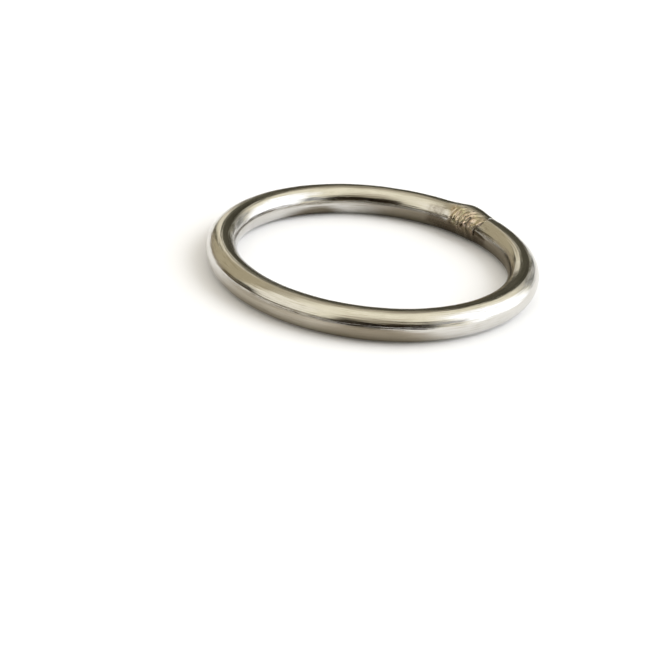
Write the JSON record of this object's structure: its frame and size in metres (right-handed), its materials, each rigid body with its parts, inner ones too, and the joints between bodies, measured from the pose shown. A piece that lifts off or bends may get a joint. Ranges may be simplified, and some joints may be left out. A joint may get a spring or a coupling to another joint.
{
  "type": "hammock ring",
  "caption": "Round steel bar bent into a closed ring and joined by one raised butt weld, for gathering the cords of a hammock onto a hook.",
  "frame": {"origin": "centre of the ring's eye, halfway up the bar", "axes": "+Z through the eye, square to the plane of the ring; +Y points to the back and +X to the right, so that the weld lies back right, 49 degrees from +X towards +Y"},
  "size_m": [0.086, 0.086, 0.009],
  "materials": {
    "steel": "bright polished steel with a slightly warm nickel tone, fine wipe marks along the bar, and a bronze to brown heat tint on the rough weld"
  },
  "bodies": {
    "root": {"ring": "steel"}
  },
  "joints": []
}
